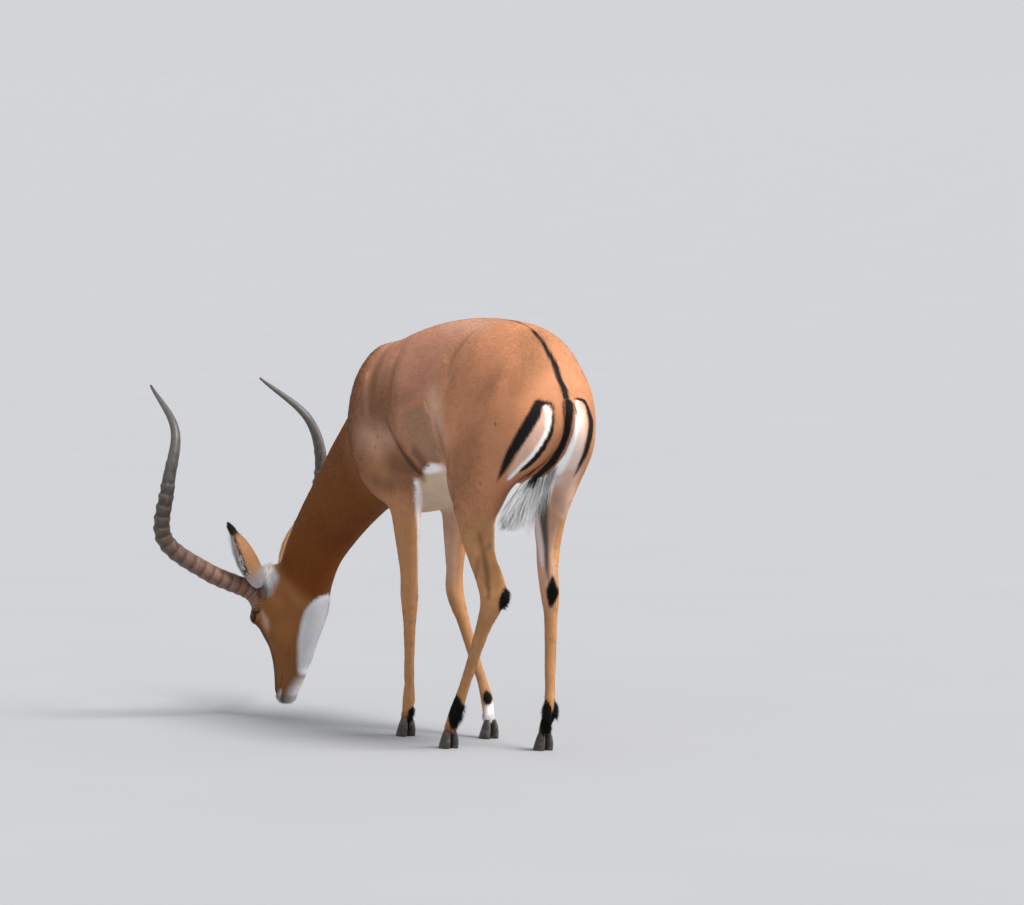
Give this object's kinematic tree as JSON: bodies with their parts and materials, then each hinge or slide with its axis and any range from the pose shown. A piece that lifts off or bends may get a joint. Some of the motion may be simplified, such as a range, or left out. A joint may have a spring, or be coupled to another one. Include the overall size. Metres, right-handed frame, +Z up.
{
  "type": "antelope",
  "caption": "Life-size still model of a grazing impala ram with lyre-shaped ringed horns, head lowered and turned to its left.",
  "frame": {"origin": "on the floor, under the middle of the whole model's box", "axes": "+Z up; -Y the way the body faces; +X the animal's left side"},
  "size_m": [0.5658, 1.323, 0.9385],
  "materials": {
    "coat": "short, smooth, lightly glossy hair, red-brown above and pale below",
    "horn": "dark horn with raised rings, satin towards the tip",
    "hoof": "dull black hoof horn",
    "eye": "wet, dark brown, glossy",
    "ear": "thin leaf with short hair, pale inside, black at the tip",
    "tail": "long soft hair, brown sides, a black line and a white tuft"
  },
  "bodies": {
    "root": {"eye_left": "eye", "ear_left": "ear", "horn_left": "horn", "foreleg_left": "coat", "hind_leg_left": "coat", "hoof_fore_left_outer": "hoof", "hoof_fore_left_inner": "hoof", "hoof_hind_left_outer": "hoof", "hoof_hind_left_inner": "hoof", "eye_right": "eye", "ear_right": "ear", "horn_right": "horn", "foreleg_right": "coat", "hind_leg_right": "coat", "hoof_fore_right_outer": "hoof", "hoof_fore_right_inner": "hoof", "hoof_hind_right_outer": "hoof", "hoof_hind_right_inner": "hoof", "head": "coat", "neck": "coat", "trunk": "coat", "tail": "tail"}
  },
  "joints": []
}
